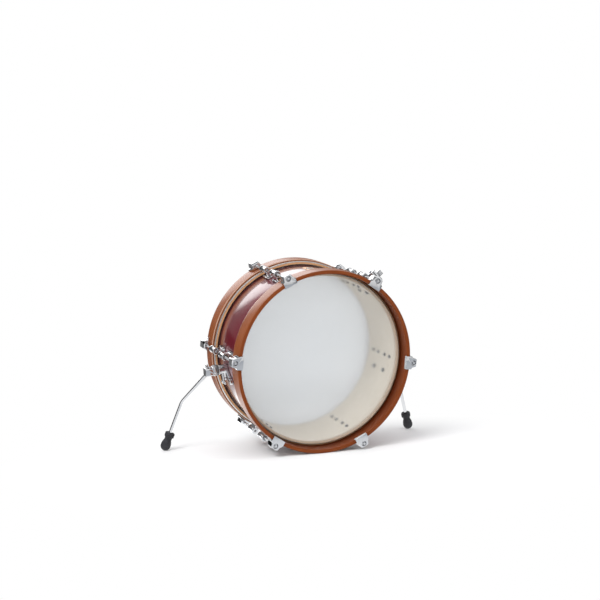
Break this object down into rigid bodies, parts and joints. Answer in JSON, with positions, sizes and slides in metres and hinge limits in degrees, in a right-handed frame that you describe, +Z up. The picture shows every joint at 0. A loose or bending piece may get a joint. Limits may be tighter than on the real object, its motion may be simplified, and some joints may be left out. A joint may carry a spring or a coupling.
{
  "type": "bass drum",
  "caption": "Shallow bass drum with covered shell, wooden hoops, claw hooks with key rods, clear heads, folding bent spurs with rubber feet and an accessory clamp.",
  "frame": {"origin": "on the floor, under the centre of the drum", "axes": "+Z up, -Y towards the player (batter side), +Y towards the front head, +X to the player's right; the drum leans back 6.3 degrees, as it rests on its batter hoop and its two spur feet"},
  "size_m": [0.7536, 0.3212, 0.5091],
  "materials": {
    "ply": "clear satin lacquer over pale ply",
    "covering": "deep red gloss covering",
    "film": "clear gloss film",
    "hoop_wood": "orange-brown stain under semi-gloss lacquer",
    "aluminium": "satin",
    "chrome": "polished",
    "steel": "bright zinc",
    "seal": "matt",
    "foot_rubber": "satin moulded rubber"
  },
  "bodies": {
    "drum": {"shell": "ply", "shell_covering": "covering", "air_vent": "chrome", "maker_plate": "aluminium", "batter_head": "film", "front_head": "film", "batter_flesh_hoop": "aluminium", "front_flesh_hoop": "aluminium", "batter_hoop": "hoop_wood", "front_hoop": "hoop_wood", "batter_lugs": "chrome", "front_lugs": "chrome", "lug_gaskets": "seal", "swivel_nuts": "steel", "lug_screws": "steel", "lug_washers": "steel", "batter_claws": "chrome", "front_claws": "chrome", "claw_liners": "seal", "rod_washers": "steel", "left_spur_base": "chrome", "right_spur_base": "chrome", "spur_gaskets": "seal", "spur_base_screws": "steel", "spur_base_washers": "steel", "left_spur_ratchet": "steel", "right_spur_ratchet": "steel", "accessory_base": "chrome", "accessory_gasket": "seal", "accessory_screws": "steel", "accessory_clamp": "chrome"},
    "batter_rod_1": {"batter_tension_rod_1": "chrome"},
    "batter_rod_2": {"batter_tension_rod_2": "chrome"},
    "batter_rod_3": {"batter_tension_rod_3": "chrome"},
    "batter_rod_4": {"batter_tension_rod_4": "chrome"},
    "batter_rod_5": {"batter_tension_rod_5": "chrome"},
    "batter_rod_6": {"batter_tension_rod_6": "chrome"},
    "front_rod_1": {"front_tension_rod_1": "chrome"},
    "front_rod_2": {"front_tension_rod_2": "chrome"},
    "front_rod_3": {"front_tension_rod_3": "chrome"},
    "front_rod_4": {"front_tension_rod_4": "chrome"},
    "front_rod_5": {"front_tension_rod_5": "chrome"},
    "front_rod_6": {"front_tension_rod_6": "chrome"},
    "left_leg_holder": {"left_spur_holder": "chrome", "left_spur_pivot": "steel"},
    "left_leg": {"left_spur_leg": "chrome"},
    "left_foot": {"left_spur_foot": "foot_rubber", "left_foot_ring": "foot_rubber"},
    "left_swing_bolt": {"left_spur_swing_bolt": "chrome"},
    "left_leg_bolt": {"left_spur_leg_bolt": "chrome"},
    "right_leg_holder": {"right_spur_holder": "chrome", "right_spur_pivot": "steel"},
    "right_leg": {"right_spur_leg": "chrome"},
    "right_foot": {"right_spur_foot": "foot_rubber", "right_foot_ring": "foot_rubber"},
    "right_swing_bolt": {"right_spur_swing_bolt": "chrome"},
    "right_leg_bolt": {"right_spur_leg_bolt": "chrome"},
    "accessory_bolt": {"accessory_key_bolt": "chrome"}
  },
  "joints": [
    {"name": "batter_rod_1_turn", "type": "hinge", "parent": "drum", "child": "batter_rod_1", "pos_m": [0.25056, -0.09776, 0.22878], "axis": [0, 0.994, 0.1097], "continuous": true},
    {"name": "batter_rod_2_turn", "type": "hinge", "parent": "drum", "child": "batter_rod_2", "pos_m": [0.13817, -0.12239, 0.45185], "axis": [0, 0.994, 0.1097], "continuous": true},
    {"name": "batter_rod_3_turn", "type": "hinge", "parent": "drum", "child": "batter_rod_3", "pos_m": [-0.11239, -0.12402, 0.46665], "axis": [0, 0.994, 0.1097], "continuous": true},
    {"name": "batter_rod_4_turn", "type": "hinge", "parent": "drum", "child": "batter_rod_4", "pos_m": [-0.25056, -0.10103, 0.25837], "axis": [0, 0.994, 0.1097], "continuous": true},
    {"name": "batter_rod_5_turn", "type": "hinge", "parent": "drum", "child": "batter_rod_5", "pos_m": [-0.13817, -0.0764, 0.03529], "axis": [0, 0.994, 0.1097], "continuous": true},
    {"name": "batter_rod_6_turn", "type": "hinge", "parent": "drum", "child": "batter_rod_6", "pos_m": [0.11239, -0.07477, 0.02049], "axis": [0, 0.994, 0.1097], "continuous": true},
    {"name": "front_rod_1_turn", "type": "hinge", "parent": "drum", "child": "front_rod_1", "pos_m": [0.25056, 0.10103, 0.25072], "axis": [0, 0.994, 0.1097], "continuous": true},
    {"name": "front_rod_2_turn", "type": "hinge", "parent": "drum", "child": "front_rod_2", "pos_m": [0.13817, 0.0764, 0.4738], "axis": [0, 0.994, 0.1097], "continuous": true},
    {"name": "front_rod_3_turn", "type": "hinge", "parent": "drum", "child": "front_rod_3", "pos_m": [-0.11239, 0.07477, 0.4886], "axis": [0, 0.994, 0.1097], "continuous": true},
    {"name": "front_rod_4_turn", "type": "hinge", "parent": "drum", "child": "front_rod_4", "pos_m": [-0.25056, 0.09776, 0.28031], "axis": [0, 0.994, 0.1097], "continuous": true},
    {"name": "front_rod_5_turn", "type": "hinge", "parent": "drum", "child": "front_rod_5", "pos_m": [-0.13817, 0.12239, 0.05724], "axis": [0, 0.994, 0.1097], "continuous": true},
    {"name": "front_rod_6_turn", "type": "hinge", "parent": "drum", "child": "front_rod_6", "pos_m": [0.11239, 0.12402, 0.04244], "axis": [0, 0.994, 0.1097], "continuous": true},
    {"name": "left_leg_swing", "type": "hinge", "parent": "drum", "child": "left_leg_holder", "pos_m": [-0.27623, 0.00571, 0.22105], "axis": [0.9925, -0.0134, 0.1211], "range_deg": [-20, 100]},
    {"name": "left_leg_length", "type": "slide", "parent": "left_leg_holder", "child": "left_leg", "axis": [-0.3387, 0.6922, -0.6373], "range_m": [-0.02, 0.01]},
    {"name": "left_foot_height", "type": "slide", "parent": "left_leg", "child": "left_foot", "axis": [0.3101, -0.2288, 0.9228], "range_m": [0, 0.015]},
    {"name": "left_swing_bolt_turn", "type": "hinge", "parent": "drum", "child": "left_swing_bolt", "pos_m": [-0.23677, 0.00739, 0.20584], "axis": [0.1219, 0.1089, -0.9866], "continuous": true},
    {"name": "left_leg_bolt_turn", "type": "hinge", "parent": "left_leg_holder", "child": "left_leg_bolt", "pos_m": [-0.28092, 0.00815, 0.23088], "axis": [-0.1219, -0.1089, 0.9866], "continuous": true},
    {"name": "right_leg_swing", "type": "hinge", "parent": "drum", "child": "right_leg_holder", "pos_m": [0.27623, 0.00571, 0.22105], "axis": [0.9925, 0.0134, -0.1211], "range_deg": [-20, 100]},
    {"name": "right_leg_length", "type": "slide", "parent": "right_leg_holder", "child": "right_leg", "axis": [0.3387, 0.6922, -0.6373], "range_m": [-0.02, 0.01]},
    {"name": "right_foot_height", "type": "slide", "parent": "right_leg", "child": "right_foot", "axis": [-0.3101, -0.2288, 0.9228], "range_m": [0, 0.015]},
    {"name": "right_swing_bolt_turn", "type": "hinge", "parent": "drum", "child": "right_swing_bolt", "pos_m": [0.23677, 0.00739, 0.20584], "axis": [-0.1219, 0.1089, -0.9866], "continuous": true},
    {"name": "right_leg_bolt_turn", "type": "hinge", "parent": "right_leg_holder", "child": "right_leg_bolt", "pos_m": [0.28092, 0.00815, 0.23088], "axis": [0.1219, -0.1089, 0.9866], "continuous": true},
    {"name": "accessory_bolt_turn", "type": "hinge", "parent": "drum", "child": "accessory_bolt", "pos_m": [0.18957, -0.05345, 0.46532], "axis": [0, 0.994, 0.1097], "continuous": true}
  ]
}
